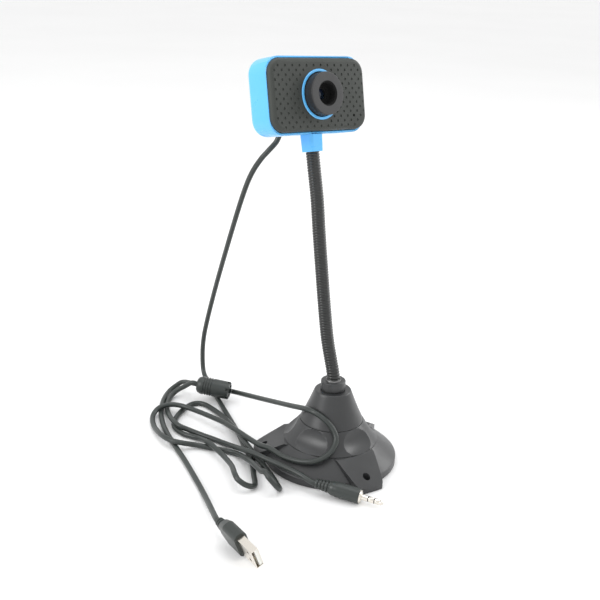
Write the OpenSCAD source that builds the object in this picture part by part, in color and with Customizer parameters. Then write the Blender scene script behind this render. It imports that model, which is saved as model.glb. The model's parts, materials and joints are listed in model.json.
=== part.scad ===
// Webcam on a gooseneck stand: round base with three holed tabs, flexible neck, camera head and its leads.
// Millimetres. The origin is on the desk under the middle of the base, +Z is up, the camera looks along -Y.

/* [Base] */
// Radius of the round foot
foot_r = 42.8; // [41:0.1:44]
// Height of the foot's upright rim
rim_h = 5.2; // [4:0.1:6]
// Height of the joint between foot and grip ring
grip_z = 15.5; // [14:0.1:17]
// Height of the joint between grip ring and upper cone
cone_z = 28.3; // [26:0.1:30]
// Height of the top of the upper cone
cone_top_z = 49; // [47:0.1:51]
// Turn of the tabs from the camera's front, in degrees
base_turn = -12; // [-30:1:30]
// Radius on which the tab holes lie
tab_hole_at = 43.3; // [42:0.1:44]
// Radius of each tab hole
tab_hole_r = 2.35; // [1.8:0.05:2.6]
// Radius at which the tabs end
tab_end_r = 50; // [48:0.1:51]

/* [Neck] */
// Outer radius of the gooseneck
neck_r = 4.2; // [3.8:0.1:4.3]
// Radius of the collar round the neck's foot
collar_r = 7.9; // [7.5:0.1:8.5]
// Height of the collar's top
collar_top_z = 55.4; // [54:0.1:57]

/* [Head] */
// Width of the bezel
bezel_w = 75.5; // [74:0.1:77]
// Height of the bezel
bezel_h = 43; // [42:0.1:44]
// Thickness of the bezel
bezel_t = 4; // [3.5:0.1:4.5]
// Depth of the back of the rear shell behind the bezel's face
shell_back = 22.5; // [21.5:0.1:23.5]
// Backward tilt of the head, in degrees
head_tilt = 13.9; // [5:0.1:20]
// Sideways lean of the head, in degrees
head_lean = 3.7; // [0:0.1:6]

/* [Lens] */
// Outer radius of the focus ring
focus_r = 12.8; // [12.2:0.05:12.9]
// How far the focus ring stands out of the face
focus_out = 6.6; // [6.3:0.1:7]
// Radius of the focus ring's mouth
mouth_r = 7.3; // [7:0.1:8]
// Outer radius of the blue trim ring
trim_r = 15; // [14.8:0.1:15.4]

/* [Leads] */
// Diameter of the camera, USB and microphone leads
lead_d = 3.5; // [3.3:0.1:3.6]
// Radius of the splitter
splitter_r = 6.4; // [6.2:0.1:6.8]
// Length of the splitter
splitter_l = 24; // [23:0.5:28]

/* [Hidden] */
$fn = 64;

// ---------- derived values ----------
pad_h = 1.2;
pad_r = 37;
plate_t = 2.2;
plate_top = pad_h + plate_t;
rim_low = 0.2;
wall = 2;
grip_r = 30.3;
cone_r = 20.4;
cone_top_r = 11.7;
base_screw_at = 33;
tab_turns = [0, 120, 240];
plate_screw_turns = [60, 180, 300];
neck_low = 44;
winding_bore = 2.9;
spring_r = 2.8;
spring_bore = 1.6;
head_at = [6.3, 29.8, 230.9];
stem_at = [-1.9, 9];
stem_low = -33.5;
stem_bore_l = 8.4;
spigot_y = 10.2;
shell_w = bezel_w + 0.9;
shell_low = -bezel_h / 2 - 1.6;
shell_high = bezel_h / 2 + 1.5;
shell_mid = (shell_low + shell_high) / 2;
shell_h = shell_high - shell_low;
shell_wall = 1.8;
bezel_corner = 9;
board_front = 12.6;
board_t = 1.2;
board_back = board_front + board_t;
board_hole = [20, 13];
case_screw_at = [32.6, 11.5];
mic_at = [26.7, -13.1];
grommet_z = -11;
grommet_end = 27;
lens_clear = 0.07;
cell_r = 4.85;
lead_r = lead_d / 2;
lead_sides = 8;
// Splitter: its middle, and the direction from its two-lead end to its one-lead end
splitter_at = [-11, 110.6, 10.5];
splitter_turn = -52;
splitter_dip = 6;
twin_roll = -30;
twin_gap = 2.2;
// USB plug: middle of its mouth, turn of its axis and lean of its broad side
usb_mouth = [-117, -67, 9.2];
usb_turn = -98;
usb_lean = 21;
usb_shell_w = 12;
usb_shell_t = 4.5;
usb_shell_l = 15;
usb_end = 41;
// Jack plug: its tip, and the turn and dip of its axis
jack_at = [-17.9, -66, 3.45];
jack_turn = -62.3;
jack_dip = 4.7;
jack_r = 1.75;
jack_shaft = 14;
jack_collar = 1.2;
jack_body_l = 18.8;
jack_relief_l = 9.6;
jack_body_r = 4.7;

// Route of the camera lead: hanging from the head, then over the desk and the base to the splitter
drop_route = [[6.2, 62.6, 208.5], [6.3, 65.2, 202.5], [4.2, 66.4, 196], [-0.5, 68.8, 190],
    [-3.7, 72.2, 184.3], [-5, 79, 174.5], [-4.2, 87.5, 160.5], [-0.5, 103, 133], [8, 132.5, 80],
    [10, 147, 44], [9.3, 150.3, 27], [8.3, 149.6, 12], [6.4, 145, 3.6]];
floor_route = [[2.6, 134, 1.8], [-6.8, 113.2, 1.8], [-27.8, 62.8, 1.8], [-36.1, 45.5, 1.8],
    [-41.6, 32.9, 1.8], [-48.2, 21, 1.8], [-55.4, 10.9, 1.8], [-61.9, 1.7, 1.8], [-66.4, -1.4, 2.9],
    [-71.2, -0.5, 5.4], [-73.6, 3.8, 7.9], [-72.1, 9, 9], [-65.1, 21.1, 6.8], [-60.1, 34.6, 5],
    [-58.7, 44.3, 5.6], [-57.4, 55.1, 5.6], [-55.4, 68.3, 2.4], [-59.3, 81, 1.8], [-58, 92.9, 1.8],
    [-49.4, 102.8, 1.8], [-37.5, 110.1, 1.8], [-27.8, 112.7, 1.8], [-22.3, 108.2, 1.8],
    [-21.7, 97.2, 1.8], [-24, 82.7, 2.6], [-29.9, 65.1, 5.2], [-35.4, 49.1, 6], [-40.3, 35.7, 6.4],
    [-43.8, 23.7, 5.6], [-45.8, 13.8, 4.2], [-47.4, 4.5, 2.2], [-52.9, -10, 1.8], [-56.1, -14.3, 3.5],
    [-59.8, -15.1, 7.7], [-62, -11.9, 11.9], [-61.2, -6.6, 13.6], [-60, -1, 11.6], [-53.8, 15.1, 7.8],
    [-48.9, 32.2, 3.4], [-50.2, 43.5, 1.8], [-62.2, 61.3, 2.6], [-69.6, 65.5, 4.8], [-74.4, 72.3, 5.4],
    [-74.8, 82.6, 4.8], [-70, 98.4, 2.4], [-63.7, 110.9, 1.9], [-57.8, 116.4, 3.4], [-51.6, 116.7, 5.6],
    [-43.6, 113.6, 5.7], [-37.9, 102.5, 5.4], [-34.3, 73.9, 6.8], [-36.1, 56.3, 8.8],
    [-38.8, 27.9, 10.4], [-38.6, 16, 12.2], [-38.6, 2, 12.2], [-36.3, -9, 13.2], [-32, -16.9, 14.8],
    [-26, -21.2, 17.4], [-19.5, -22.2, 21.5], [-15, -20.2, 26.6], [-14.3, -15.2, 32],
    [-16.4, -8.5, 36.9], [-18.4, 2, 38.8], [-14.1, 24.7, 31.5], [-7.4, 58.7, 20.5]];
usb_route = [[-19.1, 136.9, 7.4], [-23.7, 139.8, 4.4], [-30.2, 139.2, 1.9], [-39.7, 131.6, 1.8],
    [-49.3, 121, 1.8], [-57.8, 108.5, 1.8], [-65.6, 92.4, 1.8], [-72.1, 73.8, 1.8], [-78.6, 53.1, 1.8],
    [-86.4, 31, 1.8], [-95.1, 8.6, 2.4]];
mic_route = [[-24.3, 127.7, 8.8], [-27.5, 131.9, 5.2], [-32.7, 131.9, 2.4], [-40.8, 125.3, 1.8],
    [-47.5, 116.2, 2], [-55.5, 101, 4.9], [-58.7, 87.5, 5.4], [-54.6, 80.7, 3.2], [-50, 69.9, 1.8],
    [-46.2, 55.1, 1.9], [-46.3, 41.2, 4.6], [-47.4, 28.5, 8], [-46.8, 17.2, 9.4], [-45.2, 6.3, 9.4],
    [-43.4, -4.9, 9.6], [-41.5, -16.9, 9.2]];

bezel_col = "#565855";
blue_col = "#76c2f7";
black_col = "#2d2f2d";
base_col = "#4b4e50";
lead_col = "#464e4c";
metal_col = "#d8cfc0";

// ---------- helpers ----------
function unit(v) = v / norm(v);
function turn_x(p, a) = [p.x, p.y * cos(a) - p.z * sin(a), p.y * sin(a) + p.z * cos(a)];
function turn_y(p, a) = [p.x * cos(a) + p.z * sin(a), p.y, -p.x * sin(a) + p.z * cos(a)];
function turn_z(p, a) = [p.x * cos(a) - p.y * sin(a), p.x * sin(a) + p.y * cos(a), p.z];
function from_head(p) = head_at + turn_x(turn_y(p, head_lean), -head_tilt);
function from_usb(p) = usb_mouth + turn_z(turn_x(p, usb_lean), usb_turn);
function from_jack(s) = jack_at - s * [cos(jack_turn) * cos(jack_dip), sin(jack_turn) * cos(jack_dip), -sin(jack_dip)];
function from_splitter(p) = splitter_at + turn_z(turn_y(p, splitter_dip), splitter_turn);

module at_head() { translate(head_at) rotate([-head_tilt, 0, 0]) rotate([0, head_lean, 0]) children(); }
module at_usb() { translate(usb_mouth) rotate([usb_lean, 0, usb_turn]) children(); }
// The jack's own axis runs along +X to its tip at x = 0
module at_jack() { translate(jack_at) rotate([0, jack_dip, jack_turn]) children(); }
module at_splitter() { translate(splitter_at) rotate([0, splitter_dip, splitter_turn]) children(); }
module at_base() { rotate([0, 0, base_turn]) children(); }

// A disc or tube along the head's depth, from depth a to depth b
module depth_disc(r, a, b) { translate([0, a, 0]) rotate([-90, 0, 0]) cylinder(r = r, h = b - a); }
module depth_tube(ro, ri, a, b) {
    difference() {
        depth_disc(ro, a, b);
        depth_disc(ri, a - 1, b + 1);
    }
}
module axis_disc(r, a, b) { translate([a, 0, 0]) rotate([0, 90, 0]) cylinder(r = r, h = b - a); }
module axis_tube(ro, ri, a, b) {
    difference() {
        axis_disc(ro, a, b);
        axis_disc(ri, a - 1, b + 1);
    }
}
module rounded_rect(w, h, r) {
    square([w - 2 * r, h], center = true);
    square([w, h - 2 * r], center = true);
    for (x = [-1, 1], y = [-1, 1]) translate([x * (w / 2 - r), y * (h / 2 - r)]) circle(r = r);
}
module depth_plate(w, h, r, a, b) {
    translate([0, b, 0]) rotate([90, 0, 0]) linear_extrude(b - a) rounded_rect(w, h, r);
}
// A plate with rounded edges: rims lists [depth, inset] pairs from front to back
module soft_plate(w, h, r, rims) {
    hull() for (rim = rims, x = [-1, 1], z = [-1, 1])
        translate([x * (w / 2 - r), rim[0], z * (h / 2 - r)]) rotate([-90, 0, 0])
            cylinder(r = r - rim[1], h = 0.02, $fn = 32);
}
module box(a, b) { translate(a) cube(b - a); }

// ---------- swept leads ----------
function tangent(p, i) = unit(p[min(i + 1, len(p) - 1)] - p[max(i - 1, 0)]);
function side_step(u, t) = unit(u - (u * t) * t);
function sides(p, i, u) = i >= len(p) ? [] : let (v = side_step(u, tangent(p, i))) concat([v], sides(p, i + 1, v));
function ring_points(c, t, u, r, n) = [for (k = [0 : n - 1])
    let (a = 360 * k / n, w = cross(t, u)) c + r * (cos(a) * u + sin(a) * w)];
// Sweeps a round section of n sides along the points from index first to index last
module swept(p, r, n, first, last, start_side) {
    u = sides(p, 0, start_side);
    rings = [for (i = [first : last]) each ring_points(p[i], tangent(p, i), u[i], r, n)];
    m = last - first;
    polyhedron(points = rings, faces = concat(
        [[for (k = [0 : n - 1]) k]],
        [[for (k = [n - 1 : -1 : 0]) m * n + k]],
        [for (i = [0 : m - 1], k = [0 : n - 1])
            [i * n + k, (i + 1) * n + k, (i + 1) * n + (k + 1) % n, i * n + (k + 1) % n]]));
}

splitter_half = splitter_l / 2;
camera_route = concat([from_head([0, grommet_end + 0.03, grommet_z]), from_head([0, grommet_end + 4.5, grommet_z])],
    drop_route, floor_route,
    [from_splitter([splitter_half + 5, 0, 0]), from_splitter([splitter_half, 0, 0])]);
drop_last = len(drop_route) + 1;
twin = twin_gap * [0, cos(twin_roll), sin(twin_roll)];
behind = [-splitter_half, 0, 0];
usb_path = concat([from_splitter(behind + twin), from_splitter(behind + twin - [4, 0, 0])],
    usb_route, [from_usb([-usb_end - 4, 0, 0]), from_usb([-usb_end, 0, 0])]);
jack_end = jack_shaft + jack_collar + jack_body_l + jack_relief_l;
mic_path = concat([from_splitter(behind - twin), from_splitter(behind - twin - [4, 0, 0])],
    mic_route, [from_jack(jack_end + 3), from_jack(jack_end)]);
neck_route = [[0, 0, neck_low], [0, 0, 50], [0, 0, 56.4], [0, 1.3, 62], [0.2, 3.2, 67], [0.6, 8.2, 82],
    [0.9, 12.8, 104], [1.2, 16.8, 125.6], [1.5, 20.7, 147.3], [1.7, 24, 168], [1.8, 27.9, 186],
    from_head([stem_at.x, stem_at.y, stem_low - 1]), from_head([stem_at.x, stem_at.y, stem_low + 3]),
    from_head([stem_at.x, stem_at.y, stem_low + stem_bore_l])];
// Evens out a route: each span gets n points on a smooth curve through its ends
function curve_at(a, b, c, d, t) = 0.5 * (2 * b + (c - a) * t + (2 * a - 5 * b + 4 * c - d) * t * t
    + (3 * b - a - 3 * c + d) * t * t * t);
function smooth(p, n) = concat([for (i = [0 : len(p) - 2], k = [0 : n - 1])
    curve_at(p[max(i - 1, 0)], p[i], p[i + 1], p[min(i + 2, len(p) - 1)], k / n)], [p[len(p) - 1]]);
neck_path = concat([neck_route[0], neck_route[1]],
    smooth([for (i = [2 : len(neck_route) - 3]) neck_route[i]], 2),
    [neck_route[len(neck_route) - 2], neck_route[len(neck_route) - 1]]);
neck_sides = 20;

// ---------- base ----------
module foot_pad() { color(black_col) cylinder(r = pad_r, h = pad_h); }

module bottom_plate() {
    color(base_col) difference() {
        translate([0, 0, pad_h]) cylinder(r = 39, h = plate_t);
        at_base() for (a = plate_screw_turns) rotate([0, 0, a]) translate([0, -base_screw_at, 0]) {
            cylinder(r = 1.4, h = 6);
            translate([0, 0, pad_h - 0.5]) cylinder(r = 2.8, h = 1.7);
        }
    }
}

// Wedge of one tab, seen from the side, rising from its end to the foot's top edge
tab_end_h = 3.8;
module tab_block() {
    corner = 3;
    intersection() {
        linear_extrude(20) intersection() {
            polygon([[-15.5, -22], [-12, -38], [-9.6, -tab_end_r + corner],
                for (k = [0 : 4]) [-9.3 + corner - corner * cos(k * 18), -tab_end_r + corner - corner * sin(k * 18)],
                for (k = [4 : -1 : 0]) [9.3 - corner + corner * cos(k * 18), -tab_end_r + corner - corner * sin(k * 18)],
                [9.6, -tab_end_r + corner], [12, -38], [15.5, -22]]);
            circle(r = tab_end_r);
        }
        rotate([0, -90, 0]) translate([0, 0, -20]) linear_extrude(40)
            polygon([[rim_low, -20], [rim_low, -tab_end_r - 1], [tab_end_h - 0.6, -tab_end_r - 1],
                [grip_z - 0.2, -grip_r], [grip_z - 0.2, -20]]);
    }
}

module base_foot() {
    inner = wall * 1.1;
    color(base_col) difference() {
        union() {
            rotate_extrude($fn = 96) polygon([[0, rim_low], [foot_r - 0.4, rim_low], [foot_r, rim_low + 0.6],
                [foot_r, rim_h - 0.4], [foot_r - 0.5, rim_h + 0.2], [grip_r, grip_z], [0, grip_z]]);
            at_base() for (a = tab_turns) rotate([0, 0, a]) tab_block();
        }
        rotate_extrude($fn = 96) polygon([[0, rim_low - 1], [39.2, rim_low - 1], [39.2, plate_top + 0.6],
            [grip_r - inner, grip_z - inner], [grip_r - inner, grip_z + 1], [0, grip_z + 1]]);
        at_base() for (a = tab_turns) rotate([0, 0, a]) translate([0, -tab_hole_at, -1]) cylinder(r = tab_hole_r, h = 30);
    }
    color(base_col) at_base() for (a = plate_screw_turns) rotate([0, 0, a]) translate([0, -base_screw_at, 0])
        difference() {
            translate([0, 0, plate_top]) cylinder(r = 2.9, h = 7.6);
            translate([0, 0, plate_top - 1]) cylinder(r = 1.15, h = 6.5);
        }
}

module ballast_weight() {
    color("#8a8d90") difference() {
        translate([0, 0, plate_top]) cylinder(r = 29.5, h = 6);
        translate([0, 0, plate_top - 1]) cylinder(r = 4, h = 8);
    }
}

module base_screws() {
    color(metal_col) at_base() for (a = plate_screw_turns) rotate([0, 0, a]) translate([0, -base_screw_at, 0]) {
        translate([0, 0, pad_h]) cylinder(r = 2.5, h = 1.2);
        translate([0, 0, pad_h + 1.2]) cylinder(r = 1.1, h = 5.6);
    }
}

// Cuts the five shallow dishes round the ring, deeper by grow
module grip_dishes(grow) {
    dish_tall = 14;
    dish_wide = 60;
    dish_depth = 2.6;
    mid_r = (grip_r + cone_r) / 2;
    mid_z = (grip_z + cone_z) / 2;
    lift = atan2(grip_r - cone_r, cone_z - grip_z);
    for (a = [-73 : 72 : 215]) rotate([0, 0, a]) translate([0, -mid_r, mid_z]) rotate([-lift, 0, 0])
        translate([0, -dish_wide + dish_depth, 0]) rotate_extrude($fn = 128)
            translate([dish_wide - dish_tall, 0]) intersection() {
                circle(r = dish_tall + grow, $fn = 48);
                translate([0, -12]) square([30, 24]);
            }
}

module grip_ring() {
    ring_wall = 2.4;
    color(base_col) difference() {
        rotate_extrude($fn = 96) polygon([[0, grip_z], [grip_r - 0.3, grip_z], [grip_r, grip_z + 0.5],
            [cone_r + 0.1, cone_z], [0, cone_z]]);
        grip_dishes(0);
        difference() {
            rotate_extrude($fn = 96) polygon([[0, grip_z - 1], [grip_r - ring_wall + 0.77, grip_z - 1],
                [cone_r - ring_wall - 0.77, cone_z + 1], [0, cone_z + 1]]);
            grip_dishes(ring_wall);
        }
    }
}

module upper_cone() {
    color(base_col) difference() {
        rotate_extrude($fn = 96) polygon([[0, cone_z], [cone_r - 0.3, cone_z], [cone_r - 0.2, cone_z + 0.5],
            [17.2, 35], [14.3, 42], [cone_top_r + 0.1, cone_top_z - 0.6], [cone_top_r - 0.5, cone_top_z], [0, cone_top_z]]);
        rotate_extrude($fn = 96) polygon([[0, cone_z - 1], [cone_r - 2.4, cone_z - 1], [cone_r - 2.4, cone_z + 0.4],
            [15.2, 35], [12.3, 42], [10.9, cone_top_z - 2.2], [0, cone_top_z - 2.2]]);
        cylinder(r = 6.55, h = 60);
    }
}

module neck_collar() {
    color(base_col) difference() {
        union() {
            translate([0, 0, 42]) cylinder(r = 6.45, h = cone_top_z - 42 + 1);
            rotate_extrude($fn = 96) polygon([[0, cone_top_z], [collar_r - 0.5, cone_top_z], [collar_r - 0.5, cone_top_z + 0.6],
                [collar_r, cone_top_z + 0.6], [collar_r, collar_top_z - 0.5], [collar_r - 0.5, collar_top_z],
                [0, collar_top_z]]);
        }
        translate([0, 0, 51]) cylinder(r = 4.95, h = 10);
        translate([0, 0, neck_low]) cylinder(r = neck_r + 0.1, h = 20);
    }
}

module neck_nut() {
    color(metal_col) difference() {
        translate([0, 0, 43.2]) cylinder(r = 9.2, h = 3.6, $fn = 6);
        translate([0, 0, 42]) cylinder(r = 6.5, h = 8);
    }
}

module neck_foot_ring() {
    color("#9a9a98") translate([0, 0, 53.2]) difference() {
        cylinder(r = 4.9, h = 2.8);
        translate([0, 0, -1]) cylinder(r = neck_r + 0.12, h = 6);
    }
}

// A hollow tube swept along the neck's path
module neck_tube(ro, ri) {
    last = len(neck_path) - 1;
    long_path = concat([neck_path[0] - [0, 0, 1]], neck_path,
        [neck_path[last] + unit(neck_path[last] - neck_path[last - 1])]);
    difference() {
        swept(neck_path, ro, neck_sides, 0, last, [1, 0, 0]);
        swept(long_path, ri, neck_sides, 0, last + 2, [1, 0, 0]);
    }
}
module gooseneck_winding() { color(black_col) neck_tube(neck_r, winding_bore); }
module gooseneck_spring() { color("#777777") neck_tube(spring_r, spring_bore); }

// ---------- head ----------
module neck_socket() {
    low = [9.8, 10.4];
    high = [10.2, 11.2];
    color(blue_col) at_head() difference() {
        union() {
            translate([stem_at.x, stem_at.y, stem_low]) hull() for (x = [-1, 1], y = [-1, 1]) {
                translate([x * (low.x / 2 - 2), y * (low.y / 2 - 2), 0]) cylinder(r = 2, h = 0.02, $fn = 32);
                translate([x * (high.x / 2 - 2), y * (high.y / 2 - 2), shell_low - stem_low - 0.02])
                    cylinder(r = 2, h = 0.02, $fn = 32);
            }
            translate([stem_at.x, spigot_y, shell_low - 0.5]) cylinder(r = 4.6, h = shell_wall + 0.5);
            box([stem_at.x - 6, 7.3, shell_low + shell_wall], [stem_at.x + 6, 15.4, shell_low + shell_wall + 1.2]);
        }
        translate([stem_at.x, stem_at.y, stem_low - 1]) cylinder(r = neck_r + 0.1, h = stem_bore_l + 1);
    }
}

shell_rims = [[bezel_t, 0], [shell_back - 4, 0], [shell_back - 2.5, 0.35], [shell_back - 1.2, 1.2],
    [shell_back - 0.4, 2.4], [shell_back - 0.02, 4]];
head_seat = shell_back - 4.1;
module rear_shell() {
    inner_back = shell_back - shell_wall;
    color(blue_col) at_head() {
        difference() {
            translate([0, 0, shell_mid]) soft_plate(shell_w, shell_h, 10, shell_rims);
            translate([0, 0, shell_mid]) soft_plate(shell_w - 2 * shell_wall, shell_h - 2 * shell_wall, 8.4,
                [[bezel_t - 1, 0], [inner_back - 3, 0], [inner_back - 1.2, 0.6], [inner_back, 2.6]]);
            translate([stem_at.x, spigot_y, shell_low - 1]) cylinder(r = 4.7, h = shell_wall + 2);
            translate([0, 0, grommet_z]) depth_disc(2.7, 15, shell_back + 2);
            for (s = [-1, 1]) translate([s * case_screw_at.x, 0, s * case_screw_at.y]) depth_disc(2.5, head_seat, shell_back + 2);
        }
        for (s = [-1, 1]) translate([s * case_screw_at.x, 0, s * case_screw_at.y]) difference() {
            depth_tube(3.3, 1.3, 12, shell_back - 1);
            depth_disc(2.5, head_seat, shell_back + 2);
        }
    }
}

module front_bezel() {
    tongue_w = shell_w - 2 * shell_wall - 0.4;
    tongue_h = shell_h - 2 * shell_wall - 0.4;
    color(bezel_col) at_head() difference() {
        union() {
            soft_plate(bezel_w, bezel_h, bezel_corner, [[0, 2.4], [0.35, 1.3], [1, 0.5], [2.2, 0], [bezel_t - 0.02, 0]]);
            translate([0, 0, shell_mid]) difference() {
                depth_plate(tongue_w, tongue_h, 8, bezel_t - 1, bezel_t + 3);
                depth_plate(tongue_w - 3, tongue_h - 3, 6.5, bezel_t, bezel_t + 4);
            }
            for (s = [-1, 1]) translate([s * case_screw_at.x, 0, s * case_screw_at.y]) depth_disc(2.6, bezel_t - 1, 11.9);
            for (x = [-1, 1], z = [-1, 1])
                translate([x * board_hole.x, 0, z * board_hole.y]) depth_disc(2.2, bezel_t - 1, board_front);
        }
        depth_disc(14.3, -1, bezel_t + 1);
        translate([mic_at.x, 0, mic_at.y]) depth_disc(0.9, -1, bezel_t + 1);
        for (s = [-1, 1]) translate([s * case_screw_at.x, 0, s * case_screw_at.y]) depth_disc(1.15, 6, 13);
        for (x = [-1, 1], z = [-1, 1])
            translate([x * board_hole.x, 0, z * board_hole.y]) depth_disc(0.85, 7, board_front + 1);
    }
}

module trim_ring() {
    color(blue_col) at_head() rotate([-90, 0, 0]) rotate_extrude($fn = 96)
        polygon([[13.3, -0.3], [13.5, -0.6], [trim_r - 0.4, -0.6], [trim_r, -0.2], [trim_r, 0], [14.2, 0],
            [14.2, 4.4], [13.3, 4.4]]);
}

thread_r = 6.6;
module focus_ring() {
    color(black_col) at_head() rotate([-90, 0, 0]) rotate_extrude($fn = 96)
        polygon([[mouth_r, -focus_out], [focus_r - 0.4, -focus_out], [focus_r, -focus_out + 0.4], [focus_r, -0.1],
            [13.14, -0.1], [13.14, 4.7], [13.9, 4.7], [13.9, 6], [cell_r + lens_clear, 6],
            [cell_r + lens_clear, -0.4], [thread_r, -0.4],
            for (k = [0 : 4], e = [[-0.7, 0.35], [-1.3, 0.35], [-1.3, 0], [-1.7, 0]])
                [thread_r + e[1], e[0] - k],
            [mouth_r, -focus_out + 0.5]]);
}

cell_front = -0.2;
cell_back = 9.5;
module lens_cell() {
    color(black_col) at_head() difference() {
        depth_disc(cell_r, cell_front, cell_back);
        depth_disc(3.45, cell_front - 1, 2.2);
        depth_disc(2.4, 1, 7);
        depth_disc(3.05, 6.4, cell_back + 1);
    }
}
module front_lens() {
    color("#88aacc") at_head() intersection() {
        depth_disc(3.4, 0.1, 2.2);
        translate([0, 8.3, 0]) sphere(r = 8.1, $fn = 48);
    }
}
module rear_lens() {
    color("#88aacc") at_head() intersection() {
        depth_disc(3.0, 6.4, 8.6);
        translate([0, -0.5, 0]) sphere(r = 9, $fn = 48);
    }
}

module lens_mount() {
    color(black_col) at_head() difference() {
        union() {
            depth_disc(7.4, 6.4, 10.4);
            box([-8.5, 10, -8.5], [8.5, board_front, 8.5]);
        }
        depth_disc(cell_r + lens_clear, 6, 10);
        depth_disc(3.4, 9, 11);
        box([-4.8, 10.7, -4.8], [4.8, board_front + 1, 4.8]);
    }
}
module infrared_filter() { color("#a0604080") at_head() box([-4.7, 10.7, -4.7], [4.7, 11.2, 4.7]); }
module image_sensor() { color("#303848") at_head() box([-4, 11.6, -4], [4, board_front, 4]); }

module camera_board() {
    color("#1f6b3a") at_head() difference() {
        depth_plate(56, 33, 2, board_front, board_back);
        for (x = [-1, 1], z = [-1, 1])
            translate([x * board_hole.x, 0, z * board_hole.y]) depth_disc(1, board_front - 1, board_back + 1);
    }
}
module image_processor() { color("#202020") at_head() box([-14, board_back, -3], [-6, board_back + 1, 5]); }
module clock_crystal() { color(metal_col) at_head() depth_plate_at([4, 6], 7, 3, 1.45, board_back, board_back + 1.6); }
module depth_plate_at(at, w, h, r, a, b) { translate([at.x, 0, at.y]) depth_plate(w, h, r, a, b); }
module lead_header() {
    color("#e8e4d8") at_head() difference() {
        box([8, board_back, -8], [18, board_back + 3.2, -3]);
        box([8.8, board_back + 1, -7.3], [17.2, board_back + 4, -3.7]);
    }
}
module board_screws() {
    color(metal_col) at_head() for (x = [-1, 1], z = [-1, 1]) translate([x * board_hole.x, 0, z * board_hole.y]) {
        depth_disc(1.7, board_back, board_back + 1.2);
        depth_disc(0.8, 8, board_back);
    }
}
module case_screws() {
    color(metal_col) at_head() for (s = [-1, 1]) translate([s * case_screw_at.x, 0, s * case_screw_at.y]) {
        depth_disc(2.2, head_seat, head_seat + 1.6);
        depth_disc(1.1, 7, head_seat);
    }
}
module microphone() {
    color(metal_col) at_head() translate([mic_at.x, 0, mic_at.y]) depth_disc(2.4, bezel_t + 0.6, bezel_t + 2.8);
}
module microphone_boot() {
    color(black_col) at_head() translate([mic_at.x, 0, mic_at.y]) difference() {
        depth_disc(3.1, bezel_t, bezel_t + 2.8);
        depth_disc(2.4, bezel_t + 0.6, bezel_t + 4);
        depth_disc(0.8, bezel_t - 1, bezel_t + 1);
    }
}
module lead_grommet() {
    color(lead_col) at_head() translate([0, 0, grommet_z]) rotate([-90, 0, 0]) rotate_extrude()
        polygon([[0, 18.6], [4, 18.6], [4, shell_back - shell_wall - 0.02], [2.6, shell_back - shell_wall - 0.02],
            [2.6, shell_back + 0.02], [3.3, shell_back + 0.02], [3.3, shell_back + 1.4], [2.3, grommet_end], [0, grommet_end]]);
}

// ---------- leads ----------
module camera_lead_drop() { color(lead_col) swept(camera_route, lead_r, lead_sides, 0, drop_last, [1, 0, 0]); }
module camera_lead_floor() {
    color(lead_col) swept(camera_route, lead_r, lead_sides, drop_last, len(camera_route) - 1, [1, 0, 0]);
}
module usb_lead() { color(lead_col) swept(usb_path, lead_r, lead_sides, 0, len(usb_path) - 1, [0, 0, 1]); }
module mic_lead() { color(lead_col) swept(mic_path, lead_r, lead_sides, 0, len(mic_path) - 1, [0, 0, 1]); }

module splitter_body() {
    h = splitter_half;
    groove = 0.5;
    color(lead_col) at_splitter() difference() {
        rotate([0, 90, 0]) rotate_extrude() polygon([[0, -h], [4.2, -h], [5.5, -h + 1], [splitter_r, -h + 3.4],
            for (k = [0 : 3], e = [[0, 0], [0.2, groove], [0.9, groove], [1.1, 0]])
                [splitter_r - e[1], -h + 5.2 + k * 1.8 + e[0]],
            [splitter_r, h - 0.6], [splitter_r - 0.6, h], [0, h]]);
        for (a = [0 : 60 : 300]) rotate([a, 0, 0]) translate([h - 2.2, -0.9, 4.4]) cube([4, 1.8, 4]);
        axis_tube(4.2, 2.6, h - 1.2, h + 1);
    }
}

usb_back = -34.5;
module usb_relief() {
    color(lead_col) at_usb() rotate([0, 90, 0]) rotate_extrude() polygon([[0, -usb_end], [2.6, -usb_end],
        for (k = [0 : 2], e = [[0, 0], [1.1, 0], [1.1, -0.6], [1.8, -0.6]])
            [2.7 + k * 0.25 + e[1], -usb_end + 0.3 + k * 1.9 + e[0]],
        [3.3, usb_back - 0.5], [3.3, usb_back - 0.02], [0, usb_back - 0.02]]);
}
usb_root = -21;
module usb_overmold() {
    color(lead_col) at_usb() {
        difference() {
            rotate([90, 0, 90]) translate([0, 0, -28]) linear_extrude(28 - usb_shell_l) rounded_rect(7.8, 15.6, 3);
            box([usb_root, -usb_shell_t / 2, -usb_shell_w / 2], [-11, usb_shell_t / 2, usb_shell_w / 2]);
        }
        hull() for (z = [-1, 1], y = [-1, 1]) {
            translate([-28.4, y * 0.9, z * 4.8]) rotate([0, 90, 0]) cylinder(r = 2.9, h = 1, $fn = 32);
            translate([usb_back, y * 1, z * 2.4]) rotate([0, 90, 0]) cylinder(r = 2.4, h = 0.5, $fn = 32);
        }
    }
}
module usb_shell() {
    skin = 0.35;
    color(metal_col) at_usb() difference() {
        box([usb_root, -usb_shell_t / 2, -usb_shell_w / 2], [0, usb_shell_t / 2, usb_shell_w / 2]);
        box([usb_root + 0.4, -usb_shell_t / 2 + skin, -usb_shell_w / 2 + skin], [1, usb_shell_t / 2 - skin, usb_shell_w / 2 - skin]);
        for (y = [-1, 1], z = [-2.9, 2.9]) box([-6.6, y * usb_shell_t / 2 - 0.6, z - 1.1], [-4.2, y * usb_shell_t / 2 + 0.6, z + 1.1]);
    }
}
module usb_tongue() {
    color("#f2f2ee") at_usb() difference() {
        box([usb_root + 0.4, -0.1, -5.5], [-0.4, 1.9, 5.5]);
        for (z = usb_pins) box([-10, -0.6, z - 0.5], [-3.4, 0.1, z + 0.5]);
    }
}
usb_pins = [-3.5, -1, 1, 3.5];
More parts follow.
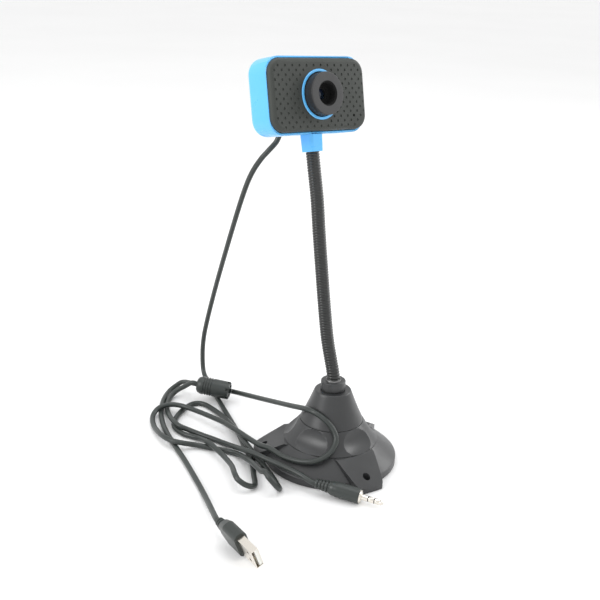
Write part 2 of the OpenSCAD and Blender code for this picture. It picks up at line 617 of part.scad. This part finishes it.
module usb_contacts() {
    color("#d8b45a") at_usb() for (z = usb_pins) box([-10, -0.2, z - 0.5], [-3.4, 0.1, z + 0.5]);
}

module jack_relief() {
    a = -jack_end;
    color(lead_col) at_jack() rotate([0, 90, 0]) rotate_extrude() polygon([[0, a], [2.7, a],
        for (k = [0 : 3], e = [[0, 0], [1.3, 0.1], [1.3, -0.75], [2.1, -0.75]])
            [2.9 + k * 0.25 + e[1], a + 0.3 + k * 2.15 + e[0]],
        [3.8, a + 8.9], [3.8, a + jack_relief_l - 0.02], [0, a + jack_relief_l - 0.02]]);
}
module jack_overmold() {
    a = -jack_end + jack_relief_l;
    b = a + jack_body_l;
    color(lead_col) at_jack() rotate([0, 90, 0]) rotate_extrude() polygon([[0, a], [3.9, a], [4.4, a + 1.5],
        [jack_body_r, a + 5], [jack_body_r, b - 0.6], [jack_body_r - 0.4, b], [0, b]]);
}
module jack_sleeve() {
    color(metal_col) at_jack() difference() {
        union() {
            axis_disc(4, -jack_shaft - jack_collar, -jack_shaft - 0.3);
            axis_disc(3, -jack_shaft - jack_collar, -jack_shaft);
            axis_disc(jack_r, -jack_shaft, -10);
        }
        axis_disc(0.9, -jack_shaft - 0.6, 0);
    }
}
module jack_ring() { color(metal_col) at_jack() axis_tube(jack_r, 0.9, -9.4, -6.1); }
module jack_tip() {
    color(metal_col) at_jack() difference() {
        rotate([0, 90, 0]) rotate_extrude() polygon([[0, -5.5], [jack_r, -5.5], [jack_r, -3.1], [1.25, -2.5],
            [1.65, -1.7], [0.7, -0.2], [0, 0]]);
        axis_disc(0.9, -6.5, -3.4);
    }
}
module jack_insulators() {
    color("#1c1c1c") at_jack() {
        axis_disc(0.9, -jack_shaft - 0.6, -3.4);
        for (x = [-10, -6.1]) axis_tube(jack_r, 0.85, x, x + 0.6);
    }
}

foot_pad();
bottom_plate();
base_foot();
ballast_weight();
base_screws();
grip_ring();
upper_cone();
neck_collar();
neck_nut();
neck_foot_ring();
gooseneck_winding();
gooseneck_spring();
neck_socket();
rear_shell();
front_bezel();
trim_ring();
focus_ring();
lens_cell();
front_lens();
rear_lens();
lens_mount();
infrared_filter();
image_sensor();
camera_board();
image_processor();
clock_crystal();
lead_header();
board_screws();
case_screws();
microphone();
microphone_boot();
lead_grommet();
camera_lead_drop();
camera_lead_floor();
splitter_body();
usb_lead();
usb_relief();
usb_overmold();
usb_shell();
usb_tongue();
usb_contacts();
mic_lead();
jack_relief();
jack_overmold();
jack_sleeve();
jack_ring();
jack_tip();
jack_insulators();
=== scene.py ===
"""Looks for a webcam on a gooseneck stand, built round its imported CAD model. Everything is in metres."""
import json
import math

import bmesh
import bpy
from mathutils import Matrix, Vector


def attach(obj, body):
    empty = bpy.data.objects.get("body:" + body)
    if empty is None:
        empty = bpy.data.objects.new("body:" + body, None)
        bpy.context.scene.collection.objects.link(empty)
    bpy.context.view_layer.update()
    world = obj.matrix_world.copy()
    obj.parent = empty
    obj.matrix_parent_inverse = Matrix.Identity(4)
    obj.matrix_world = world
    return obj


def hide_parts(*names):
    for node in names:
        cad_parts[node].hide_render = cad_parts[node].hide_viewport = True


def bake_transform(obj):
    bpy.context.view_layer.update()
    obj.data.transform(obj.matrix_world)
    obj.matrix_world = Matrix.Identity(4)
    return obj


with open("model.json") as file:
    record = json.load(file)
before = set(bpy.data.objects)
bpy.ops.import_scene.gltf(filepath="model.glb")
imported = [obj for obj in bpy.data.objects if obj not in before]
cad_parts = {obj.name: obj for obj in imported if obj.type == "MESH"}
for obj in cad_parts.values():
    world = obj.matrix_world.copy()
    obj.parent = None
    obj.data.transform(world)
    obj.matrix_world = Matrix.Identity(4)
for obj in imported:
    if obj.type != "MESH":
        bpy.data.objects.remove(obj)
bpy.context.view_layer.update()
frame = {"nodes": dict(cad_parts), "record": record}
nodes = frame["nodes"]
MM = 0.001
scene = bpy.context.scene
scene.view_settings.view_transform = "Standard"


def mm(*v):
    return Vector(v) * MM


# ---------- camera ----------
CAMERA_DISTANCE = 0.578  # from the base's axis, over the desk
CAMERA_HEIGHT = 0.328
CAMERA_SIDE = math.radians(-45)  # measured from the front of the base
CAMERA_DOWN = math.radians(20.8)
CAMERA_AIM_OFF = math.radians(2.3)
CAMERA_ROLL = math.radians(2.2)

camera = bpy.data.objects.new("camera", bpy.data.cameras.new("camera"))
camera.data.lens = 60
camera.data.sensor_width = 36
camera.data.clip_start = 0.01
camera.data.clip_end = 60
spot = Vector((math.sin(CAMERA_SIDE), -math.cos(CAMERA_SIDE), 0)) * CAMERA_DISTANCE
spot.z = CAMERA_HEIGHT
camera.matrix_world = (
    Matrix.Translation(spot)
    @ Matrix.Rotation(CAMERA_SIDE + CAMERA_AIM_OFF, 4, "Z")
    @ Matrix.Rotation(math.pi / 2 - CAMERA_DOWN, 4, "X")
    @ Matrix.Rotation(CAMERA_ROLL, 4, "Z")
)
scene.collection.objects.link(camera)
scene.camera = camera

# ---------- where the head, the splitter and the plugs are ----------
HEAD = (
    Matrix.Translation(mm(6.3, 29.8, 230.9))
    @ Matrix.Rotation(math.radians(-13.9), 4, "X")
    @ Matrix.Rotation(math.radians(3.7), 4, "Y")
)
face_out = HEAD.to_3x3() @ Vector((0, -1, 0))
SPLITTER = (
    Matrix.Translation(mm(-11, 110.6, 10.5))
    @ Matrix.Rotation(math.radians(-52), 4, "Z")
    @ Matrix.Rotation(math.radians(6), 4, "Y")
)
SPLITTER_HALF = 12
TWIN_GAP = 2.2
TWIN_ROLL = math.radians(-30)
USB = Matrix.Translation(mm(-117, -67, 9.2)) @ Matrix.Rotation(math.radians(-98), 4, "Z")
USB_END = -41
JACK = (
    Matrix.Translation(mm(-17.9, -66, 3.45))
    @ Matrix.Rotation(math.radians(-62.3), 4, "Z")
    @ Matrix.Rotation(math.radians(4.7), 4, "Y")
)
JACK_END = -43.6


# ---------- mesh helpers ----------
def linked(name, mesh):
    piece = bpy.data.objects.new(name, mesh)
    scene.collection.objects.link(piece)
    return piece


def smoothed(route, steps):
    """Points on a smooth curve through the route, with steps points to a span."""
    out = []
    for i in range(len(route) - 1):
        a, b = route[max(i - 1, 0)], route[i]
        c, d = route[i + 1], route[min(i + 2, len(route) - 1)]
        for k in range(steps):
            t = k / steps
            bend = (2 * a - 5 * b + 4 * c - d) * t * t + (3 * b - a - 3 * c + d) * t ** 3
            out.append((2 * b + (c - a) * t + bend) / 2)
    return out + [route[-1]]


def sweep(name, path, radius, sides, side, shape=None):
    """A closed tube along the path. shape(i, k) scales the radius at ring i and side k."""
    rings, turn = bmesh.new(), Vector(side)
    last = None
    for i, point in enumerate(path):
        along = (path[min(i + 1, len(path) - 1)] - path[max(i - 1, 0)]).normalized()
        turn = (turn - along * turn.dot(along)).normalized()
        across = along.cross(turn)
        ring = []
        for k in range(sides):
            angle = math.tau * k / sides
            r = radius * (shape(i, k) if shape else 1)
            ring.append(rings.verts.new(point + r * (math.cos(angle) * turn + math.sin(angle) * across)))
        if last:
            for k in range(sides):
                n = (k + 1) % sides
                rings.faces.new((last[k], last[n], ring[n], ring[k]))
        else:
            rings.faces.new(ring[::-1])
        last = ring
    rings.faces.new(last)
    for face in rings.faces:
        face.smooth = len(face.verts) == 4
    mesh = bpy.data.meshes.new(name)
    rings.to_mesh(mesh)
    rings.free()
    return linked(name, mesh)


# ---------- leads ----------
LEAD_D = 3.5 * MM
camera_route = [HEAD @ mm(0, 27, -11), HEAD @ mm(0, 31.5, -11)] + [mm(*p) for p in (
    (6.2, 62.6, 208.5), (6.3, 65.2, 202.5), (4.2, 66.4, 196), (-0.5, 68.8, 190), (-3.7, 72.2, 184.3),
    (-5, 79, 174.5), (-4.2, 87.5, 160.5), (-0.5, 103, 133), (8, 132.5, 80), (10, 147, 44), (9.3, 150.3, 27),
    (8.3, 149.6, 12), (6.4, 145, 3.6),
    # away under the splitter and round the first fold
    (2.6, 134, 1.8), (-6.8, 113.2, 1.8), (-27.8, 62.8, 1.8), (-36.1, 45.5, 1.8), (-41.6, 32.9, 1.8),
    (-48.2, 21, 1.8), (-55.4, 10.9, 1.8), (-61.9, 1.7, 1.8), (-66.4, -1.4, 2.9), (-71.2, -0.5, 5.4),
    (-73.6, 3.8, 7.9), (-72.1, 9, 9), (-65.1, 21.1, 6.8), (-60.1, 34.6, 5), (-58.7, 44.3, 5.6),
    (-57.4, 55.1, 5.6), (-55.4, 68.3, 2.4), (-59.3, 81, 1.8), (-58, 92.9, 1.8), (-49.4, 102.8, 1.8),
    (-37.5, 110.1, 1.8), (-27.8, 112.7, 1.8), (-22.3, 108.2, 1.8), (-21.7, 97.2, 1.8),
    # back beside the base and up round the second fold
    (-24, 82.7, 2.6), (-29.9, 65.1, 5.2), (-35.4, 49.1, 6), (-40.3, 35.7, 6.4), (-43.8, 23.7, 5.6),
    (-45.8, 13.8, 4.2), (-47.4, 4.5, 2.2), (-52.9, -10, 1.8), (-56.1, -14.3, 3.5), (-59.8, -15.1, 7.7),
    (-62, -11.9, 11.9), (-61.2, -6.6, 13.6), (-60, -1, 11.6), (-53.8, 15.1, 7.8), (-48.9, 32.2, 3.4),
    (-50.2, 43.5, 1.8), (-62.2, 61.3, 2.6), (-69.6, 65.5, 4.8), (-74.4, 72.3, 5.4), (-74.8, 82.6, 4.8),
    (-70, 98.4, 2.4), (-63.7, 110.9, 1.9), (-57.8, 116.4, 3.4), (-51.6, 116.7, 5.6), (-43.6, 113.6, 5.7),
    # over the heap, over the base and to the splitter
    (-37.9, 102.5, 5.4), (-34.3, 73.9, 6.8), (-36.1, 56.3, 8.8), (-38.8, 27.9, 10.4), (-38.6, 16, 12.2),
    (-38.6, 2, 12.2), (-36.3, -9, 13.2), (-32, -16.9, 14.8), (-26, -21.2, 17.4), (-19.5, -22.2, 21.5),
    (-15, -20.2, 26.6), (-14.3, -15.2, 32), (-16.4, -8.5, 36.9), (-18.4, 2, 38.8), (-14.1, 24.7, 31.5),
    (-7.4, 58.7, 20.5))] + [SPLITTER @ mm(SPLITTER_HALF + 5, 0, 0), SPLITTER @ mm(SPLITTER_HALF, 0, 0)]
twin = Vector((0, math.cos(TWIN_ROLL), math.sin(TWIN_ROLL))) * TWIN_GAP
behind = Vector((-SPLITTER_HALF, 0, 0))
back = Vector((-4, 0, 0))
usb_route = [SPLITTER @ ((behind + twin) * MM), SPLITTER @ ((behind + twin + back) * MM)] + [mm(*p) for p in (
    (-19.1, 136.9, 7.4), (-23.7, 139.8, 4.4), (-30.2, 139.2, 1.9), (-39.7, 131.6, 1.8), (-49.3, 121, 1.8),
    (-57.8, 108.5, 1.8), (-65.6, 92.4, 1.8), (-72.1, 73.8, 1.8), (-78.6, 53.1, 1.8), (-86.4, 31, 1.8),
    (-95.1, 8.6, 2.4))] + [USB @ mm(USB_END - 4, 0, 0), USB @ mm(USB_END, 0, 0)]
mic_route = [SPLITTER @ ((behind - twin) * MM), SPLITTER @ ((behind - twin + back) * MM)] + [mm(*p) for p in (
    (-24.3, 127.7, 8.8), (-27.5, 131.9, 5.2), (-32.7, 131.9, 2.4), (-40.8, 125.3, 1.8), (-47.5, 116.2, 2),
    (-55.5, 101, 4.9), (-58.7, 87.5, 5.4), (-54.6, 80.7, 3.2), (-50, 69.9, 1.8), (-46.2, 55.1, 1.9),
    (-46.3, 41.2, 4.6), (-47.4, 28.5, 8), (-46.8, 17.2, 9.4), (-45.2, 6.3, 9.4), (-43.4, -4.9, 9.6),
    (-41.5, -16.9, 9.2))] + [JACK @ mm(JACK_END - 3, 0, 0), JACK @ mm(JACK_END, 0, 0)]


def lead(name, route, node_names, side):
    path = smoothed(route, 8)
    for point in path:
        point.z = max(point.z, LEAD_D / 2)
    piece = sweep(name, path, LEAD_D / 2, 18, side)
    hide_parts(*node_names)
    return piece, path


camera_lead, camera_path = lead("camera_lead", camera_route, ["camera_lead_drop", "camera_lead_floor"], (1, 0, 0))
usb_lead, usb_path = lead("usb_lead_tube", usb_route, ["usb_lead"], (0, 0, 1))
mic_lead, mic_path = lead("mic_lead_tube", mic_route, ["mic_lead"], (0, 0, 1))
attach(usb_lead, "stand")
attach(mic_lead, "stand")

# ---------- neck ----------
STEM_AT = (-1.9, 9)
STEM_LOW = -33.5
NECK_R = 4.25 * MM
RIB_PITCH = 1.7 * MM
RIB_DEPTH = 0.17
neck_route = [mm(*p) for p in (
    (0, 0, 44), (0, 0, 50), (0, 0, 56.4), (0, 1.3, 62), (0.2, 3.2, 67), (0.6, 8.2, 82), (0.9, 12.8, 104),
    (1.2, 16.8, 125.6), (1.5, 20.7, 147.3), (1.7, 24, 168), (1.8, 27.9, 186))] + [
    HEAD @ mm(*STEM_AT, STEM_LOW + up) for up in (-1, 3, 8.4)]


def evenly(path, step):
    """The path again, with a point each step along it."""
    out, left = [path[0]], step
    for a, b in zip(path, path[1:]):
        span = (b - a).length
        while left <= span:
            out.append(a.lerp(b, left / span))
            left += step
        left -= span
    return out


RINGS_PER_RIB = 8
WINDING_SIDES = 24
neck_path = evenly(smoothed(neck_route, 12), RIB_PITCH / RINGS_PER_RIB)


def rib(i, k):
    """A wound strip's rounded rib, which climbs one pitch a turn."""
    phase = (i / RINGS_PER_RIB + k / WINDING_SIDES) % 1
    return 1 - RIB_DEPTH * (1 - math.sqrt(max(0, 1 - (2 * phase - 1) ** 2)))


winding = sweep("ribbed_winding", neck_path, NECK_R, WINDING_SIDES, (1, 0, 0), rib)
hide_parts("gooseneck_winding")

SPRING_MEAN_R = 2.2 * MM
SPRING_WIRE_R = 0.55 * MM
spring_path = []
turn = Vector((1, 0, 0))
for i, point in enumerate(neck_path[4:-4]):
    along = (neck_path[i + 5] - neck_path[i + 3]).normalized()
    turn = (turn - along * turn.dot(along)).normalized()
    angle = math.tau * i / RINGS_PER_RIB
    spring_path.append(point + SPRING_MEAN_R * (math.cos(angle) * turn + math.sin(angle) * along.cross(turn)))
spring = sweep("coil_spring", spring_path, SPRING_WIRE_R, 6, (0, 0, 1))
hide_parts("gooseneck_spring")

for piece in (winding, spring):
    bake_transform(piece)
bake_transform(camera_lead)

# ---------- bezel with its lattice of dents ----------
BEZEL_W, BEZEL_H = 75.5, 43
BEZEL_CORNER = 9
DENT_ROW, DENT_STEP = 2.75, 5.6
DENT_W, DENT_H, DENT_DEEP = 0.8, 0.9, 0.5
DENT_SHIFT_X, DENT_SHIFT_Z = 1.6, 0.55
DENT_MARGIN = 1.3
DENT_SIDES = 10
DENT_CLEAR = 16.4


def dent_places():
    rows = int(BEZEL_H / 2 / DENT_ROW)
    for row in range(-rows, rows + 1):
        z = row * DENT_ROW + DENT_SHIFT_Z
        start = DENT_STEP / 2 if row % 2 else 0
        for column in range(-8, 9):
            x = start + column * DENT_STEP + DENT_SHIFT_X
            past_x = max(abs(x) - (BEZEL_W / 2 - BEZEL_CORNER), 0)
            past_z = max(abs(z) - (BEZEL_H / 2 - BEZEL_CORNER), 0)
            if math.hypot(past_x, past_z) < BEZEL_CORNER - DENT_MARGIN - DENT_H and math.hypot(x, z) > DENT_CLEAR:
                yield x, z


def bored(name, node, places):
    """The node's mesh with a small dent cut in its face at each place."""
    piece = linked(name, nodes[node].data.copy())
    cutter = bmesh.new()
    for x, z in places:
        rings = [[cutter.verts.new(HEAD @ mm(x + DENT_W * s * math.cos(a), y, z + DENT_H * s * math.sin(a)))
                  for a in (math.tau * k / DENT_SIDES for k in range(DENT_SIDES))]
                 for y, s in ((-0.2, 1), (0.05, 1), (DENT_DEEP, 0.55))]
        cutter.faces.new(rings[0][::-1])
        cutter.faces.new(rings[2])
        for low, high in zip(rings, rings[1:]):
            for k in range(DENT_SIDES):
                n = (k + 1) % DENT_SIDES
                cutter.faces.new((low[k], low[n], high[n], high[k]))
    bmesh.ops.recalc_face_normals(cutter, faces=cutter.faces)
    mesh = bpy.data.meshes.new("dents")
    cutter.to_mesh(mesh)
    cutter.free()
    tool = linked("dents", mesh)
    clean = bmesh.new()
    clean.from_mesh(piece.data)
    bmesh.ops.remove_doubles(clean, verts=clean.verts, dist=1e-6)
    clean.to_mesh(piece.data)
    clean.free()
    cut = piece.modifiers.new("cut", "BOOLEAN")
    cut.operation = "DIFFERENCE"
    cut.solver = "EXACT"
    cut.object = tool
    baked(piece)
    bpy.data.objects.remove(tool)
    return piece


def baked(piece):
    """Makes the piece's modifiers part of its mesh."""
    bpy.context.view_layer.update()
    done = bpy.data.meshes.new_from_object(piece.evaluated_get(bpy.context.evaluated_depsgraph_get()))
    piece.modifiers.clear()
    piece.data = done


bezel = bored("bezel_with_dents", "front_bezel", dent_places())
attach(bezel, "head")
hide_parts("front_bezel")


# ---------- softened edges ----------
def soften(piece, width, angle=35):
    """Welds, rounds the sharp edges and shades smooth, all by modifiers."""
    weld = piece.modifiers.new("weld", "WELD")
    weld.merge_threshold = 1e-6
    if width:
        bevel = piece.modifiers.new("bevel", "BEVEL")
        bevel.width = width * MM
        bevel.segments = 2
        bevel.limit_method = "ANGLE"
        bevel.angle_limit = math.radians(angle)
        bevel.use_clamp_overlap = True
        bevel.harden_normals = False
    smooth_by_angle(piece, angle)
    # a wide flat face keeps its own normal, and the narrow ones beside it bend to it
    weighted = piece.modifiers.new("weighted", "WEIGHTED_NORMAL")
    weighted.mode = "FACE_AREA"
    weighted.weight = 90
    weighted.keep_sharp = True


def smooth_by_angle(piece, angle):
    mesh = piece.data
    mesh.polygons.foreach_set("use_smooth", [True] * len(mesh.polygons))
    mesh.set_sharp_from_angle(angle=math.radians(angle))


# ---------- materials ----------
class Finish:
    """A procedural material, built node by node."""

    def __init__(self, name):
        self.material = bpy.data.materials.new(name)
        self.material.use_nodes = True
        self.tree = self.material.node_tree
        self.shader = self.tree.nodes["Principled BSDF"]
        self.place = self.tree.nodes.new("ShaderNodeTexCoord").outputs["Object"]

    def node(self, kind, inputs=None, **facts):
        made = self.tree.nodes.new(kind)
        for key, value in facts.items():
            setattr(made, key, value)
        for key, value in (inputs or {}).items():
            if isinstance(value, bpy.types.NodeSocket):
                self.tree.links.new(value, made.inputs[key])
            else:
                made.inputs[key].default_value = value
        return made

    def noise(self, scale, detail=3, rough=0.5):
        return self.node("ShaderNodeTexNoise", {
            "Vector": self.place, "Scale": scale, "Detail": detail, "Roughness": rough}).outputs["Fac"]

    def spread(self, value, low, high, start=0.3, end=0.7):
        return self.node("ShaderNodeMapRange", {
            "Value": value, "From Min": start, "From Max": end, "To Min": low, "To Max": high}).outputs["Result"]

    def mixed(self, fac, a, b):
        mix = self.tree.nodes.new("ShaderNodeMix")
        mix.data_type = "RGBA"
        for socket, value in ((mix.inputs[0], fac), (mix.inputs[6], a), (mix.inputs[7], b)):
            if isinstance(value, bpy.types.NodeSocket):
                self.tree.links.new(value, socket)
            else:
                socket.default_value = value
        return mix.outputs[2]

    def near_axis(self, centre, axis, radius):
        """1 inside a round bore on the axis, 0 outside it."""
        away = self.node("ShaderNodeVectorMath", {0: self.place, 1: centre}, operation="SUBTRACT").outputs[0]
        across = self.node("ShaderNodeVectorMath", {0: away, 1: axis}, operation="CROSS_PRODUCT").outputs[0]
        far = self.node("ShaderNodeVectorMath", {0: across}, operation="LENGTH").outputs["Value"]
        return self.spread(far, 1, 0, radius, radius + 0.0002)

    def edges(self, radius):
        """1 on rounded-over edges, 0 on flat stretches."""
        soft = self.node("ShaderNodeBevel", {"Radius": radius}, samples=4).outputs["Normal"]
        plain = self.tree.nodes.new("ShaderNodeNewGeometry").outputs["Normal"]
        dot = self.node("ShaderNodeVectorMath", operation="DOT_PRODUCT")
        self.tree.links.new(soft, dot.inputs[0])
        self.tree.links.new(plain, dot.inputs[1])
        return self.spread(dot.outputs["Value"], 1, 0, 0.86, 0.995)

    def bump(self, layers):
        """Stacks (height, distance) layers of bump."""
        normal = None
        for height, distance in layers:
            inputs = {"Height": height, "Distance": distance, "Strength": 1.0}
            if normal:
                inputs["Normal"] = normal
            normal = self.node("ShaderNodeBump", inputs).outputs["Normal"]
        self.tree.links.new(normal, self.shader.inputs["Normal"])

    def feed(self, socket, value):
        if isinstance(value, bpy.types.NodeSocket):
            self.tree.links.new(value, self.shader.inputs[socket])
        else:
            self.shader.inputs[socket].default_value = value


def tint(colour, times, lift=0.0):
    return tuple(min(1, c * times + lift) for c in colour) + (1,)


def solid(name, colour, rough, spread=0.08, grain=900, grain_deep=0.00002, edge_highlight=0.25, metal=0.0,
          coat=0.0, specular=0.5, cloud=22, cloud_by=0.12, dust=0.0, bore=0.0):
    """Moulded plastic, rubber or plated metal: clouded colour, fine grain, a painted highlight on the rounded edges,
    and painted shade down a bore when one is given.
    """
    f = Finish(name)
    cloudy = f.spread(f.noise(cloud), 0, 1)
    base = f.mixed(cloudy, tint(colour, 1 - cloud_by), tint(colour, 1 + cloud_by))
    if dust:
        specks = f.spread(f.noise(2600, 2), 0, dust, 0.66, 0.74)
        base = f.mixed(specks, base, tint(colour, 1.5, 0.06))
    # painted highlight: rounded-over edges are mixed towards a lighter copy of the colour, broken up by noise,
    # standing for the light the edges catch
    if edge_highlight:
        highlit_edges = f.node("ShaderNodeMath", {0: f.edges(0.00035), 1: f.spread(f.noise(180), 0.2, 1)},
                        operation="MULTIPLY").outputs[0]
        highlit_edges = f.node("ShaderNodeMath", {0: highlit_edges, 1: edge_highlight}, operation="MULTIPLY").outputs[0]
        base = f.mixed(highlit_edges, base, tint(colour, 1.6, 0.05))
    roughness = f.spread(f.noise(60, 4), rough - spread, rough + spread)
    # painted shade: inside a round bore on the head's axis the colour is taken to near black, for the shade down the
    # lens bore; the roughness is raised there too
    if bore:
        inside = f.near_axis(HEAD.translation, face_out, bore)
        base = f.mixed(inside, base, (0.004, 0.004, 0.004, 1))
        roughness = f.node("ShaderNodeMath", {0: roughness, 1: inside}, operation="MAXIMUM").outputs[0]
    f.feed("Base Color", base)
    f.feed("Roughness", roughness)
    f.feed("Metallic", metal)
    f.feed("Specular IOR Level", specular)
    f.feed("Coat Weight", coat)
    f.feed("Coat Roughness", 0.25)
    f.bump([(f.noise(grain, 4, 0.6), grain_deep), (f.noise(70, 2), 0.00004)])
    return f.material


def srgb(r, g, b):
    """A linear colour from its 0 to 255 display values."""
    return tuple((c / 255 / 12.92) if c <= 10 else ((c / 255 + 0.055) / 1.055) ** 2.4 for c in (r, g, b))


BLUE = srgb(92, 184, 246)
materials = {
    "plastic_grey": solid("base_plastic", srgb(47, 48, 49), 0.36, grain=1400, grain_deep=0.00002, edge_highlight=0.35, dust=0.15,
                          specular=0.55),
    "plastic_bezel": solid("bezel_plastic", srgb(58, 61, 58), 0.55, grain=1700, grain_deep=0.00003, edge_highlight=0.15, dust=0.12,
                           specular=0.3),
    "plastic_blue": solid("blue_plastic", BLUE, 0.3, spread=0.05, grain=1100, grain_deep=0.000008, edge_highlight=0.2,
                          coat=0.25, cloud_by=0.04),
    # the barrel's finish paints shade down the lens bore, within 7.4 mm of the head's axis
    "plastic_black": solid("barrel_plastic", srgb(50, 50, 51), 0.46, grain=1500, grain_deep=0.00002, edge_highlight=0.3,
                           bore=0.0074),
    "rubber_black": solid("pad_rubber", srgb(36, 36, 36), 0.75, grain=900, grain_deep=0.00005, edge_highlight=0.1, dust=0.3),
    "lead_rubber": solid("lead_jacket", srgb(46, 51, 49), 0.36, grain=2200, grain_deep=0.000012, edge_highlight=0.12,
                         cloud_by=0.1, dust=0.15),
    "neck_black": solid("neck_coating", srgb(24, 26, 25), 0.26, grain=2500, grain_deep=0.00001, edge_highlight=0.45,
                        cloud_by=0.15, specular=0.6),
    "steel_spring": solid("spring_steel", (0.4, 0.4, 0.4), 0.3, grain=3000, grain_deep=0.000004, edge_highlight=0.2, metal=1.0),
    "steel_zinc": solid("zinc_plate", (0.55, 0.55, 0.53), 0.32, grain=1800, grain_deep=0.000006, edge_highlight=0.3, metal=1.0),
    "nickel": solid("nickel_plate", (0.80, 0.76, 0.69), 0.2, spread=0.05, grain=2600, grain_deep=0.000003,
                    edge_highlight=0.2, metal=1.0, cloud_by=0.05),
    "gold": solid("gold_plate", (0.85, 0.6, 0.25), 0.2, grain=2600, grain_deep=0.000003, edge_highlight=0.1, metal=1.0),
    "plastic_white": solid("white_plastic", srgb(236, 236, 230), 0.4, grain=1500, grain_deep=0.00001, edge_highlight=0.1,
                           cloud_by=0.04),
    "chip_dark": solid("chip_package", srgb(34, 34, 38), 0.5, grain=3000, grain_deep=0.00001, edge_highlight=0.15),
    "board_green": solid("solder_mask", (0.02, 0.16, 0.06), 0.3, grain=900, grain_deep=0.000006, edge_highlight=0.1, coat=0.4),
}


def glass():
    f = Finish("coated_glass")
    sheen = f.spread(f.noise(90), 0, 1)
    f.feed("Base Color", f.mixed(sheen, (0.02, 0.015, 0.04, 1), (0.012, 0.03, 0.05, 1)))
    f.feed("Roughness", f.spread(f.noise(400, 2), 0.02, 0.06))
    f.feed("Transmission Weight", 0.3)
    f.feed("IOR", 1.52)
    f.feed("Coat Weight", 0.2)
    f.bump([(f.noise(300, 2), 0.000002)])
    return f.material


materials["lens_glass"] = glass()


def dress(piece, slot_name):
    piece.data.materials.clear()
    piece.data.materials.append(materials[slot_name])


for part in frame["record"]["subparts"]:
    dress(nodes[part["node"]], part["material_slot"])
dress(nodes["neck_foot_ring"], "steel_spring")
for piece, slot_name in (
        (camera_lead, "lead_rubber"), (usb_lead, "lead_rubber"), (mic_lead, "lead_rubber"),
        (winding, "neck_black"), (spring, "steel_spring"), (bezel, "plastic_bezel")):
    dress(piece, slot_name)

EDGE = {"base_foot": 0.35, "grip_ring": 0.25, "upper_cone": 0.3, "neck_collar": 0.3, "bottom_plate": 0.3,
        "foot_pad": 0.3, "rear_shell": 0.0, "neck_socket": 0.25, "trim_ring": 0.12, "focus_ring": 0.18,
        "lens_cell": 0.1, "splitter_body": 0.15, "usb_overmold": 0.35, "usb_relief": 0.15, "usb_shell": 0.08,
        "usb_tongue": 0.08, "jack_relief": 0.15, "jack_overmold": 0.2, "jack_sleeve": 0.1, "jack_tip": 0.08,
        "lead_grommet": 0.2}
for name, node in nodes.items():
    if name in ("camera_lead_drop", "camera_lead_floor", "usb_lead", "mic_lead", "gooseneck_winding",
                "gooseneck_spring", "front_bezel"):
        continue
    soften(node, EDGE.get(name, 0))
soften(bezel, 0, 30)
for face in bezel.data.polygons:
    if face.normal.dot(face_out) > 0.9999:
        face.use_smooth = False

# ---------- floor and light ----------
floor_mesh = bpy.data.meshes.new("floor")
half = 9.0
floor_mesh.from_pydata([(-half, -half, 0), (half, -half, 0), (half, half, 0), (-half, half, 0)], [], [(0, 1, 2, 3)])
floor = linked("floor", floor_mesh)
floor.location.z = -0.00002
paper = Finish("floor_paper")
paper.feed("Base Color", paper.mixed(paper.spread(paper.noise(3), 0, 1), (0.90, 0.90, 0.90, 1), (0.92, 0.92, 0.92, 1)))
paper.feed("Roughness", paper.spread(paper.noise(40), 0.5, 0.6))
floor.data.materials.append(paper.material)

world = bpy.data.worlds.new("studio")
world.use_nodes = True
world.node_tree.nodes["Background"].inputs["Color"].default_value = (1, 1, 1, 1)
world.node_tree.nodes["Background"].inputs["Strength"].default_value = 1.0
scene.world = world


def panel(name, place, size, power, aim=(0, 0.02, 0.1)):
    """A square soft light at place, turned to aim."""
    light = bpy.data.objects.new(name, bpy.data.lights.new(name, "AREA"))
    light.data.shape = "SQUARE"
    light.data.size = size
    light.data.energy = power
    light.location = place
    light.rotation_euler = (Vector(aim) - Vector(place)).to_track_quat("-Z", "Y").to_euler()
    scene.collection.objects.link(light)


panel("top_light", (0.1, 0.15, 1.3), 0.9, 4)
panel("left_light", (-1.1, 0.3, 0.7), 0.6, 6)
panel("right_light", (1.1, -0.35, 0.6), 0.6, 5)
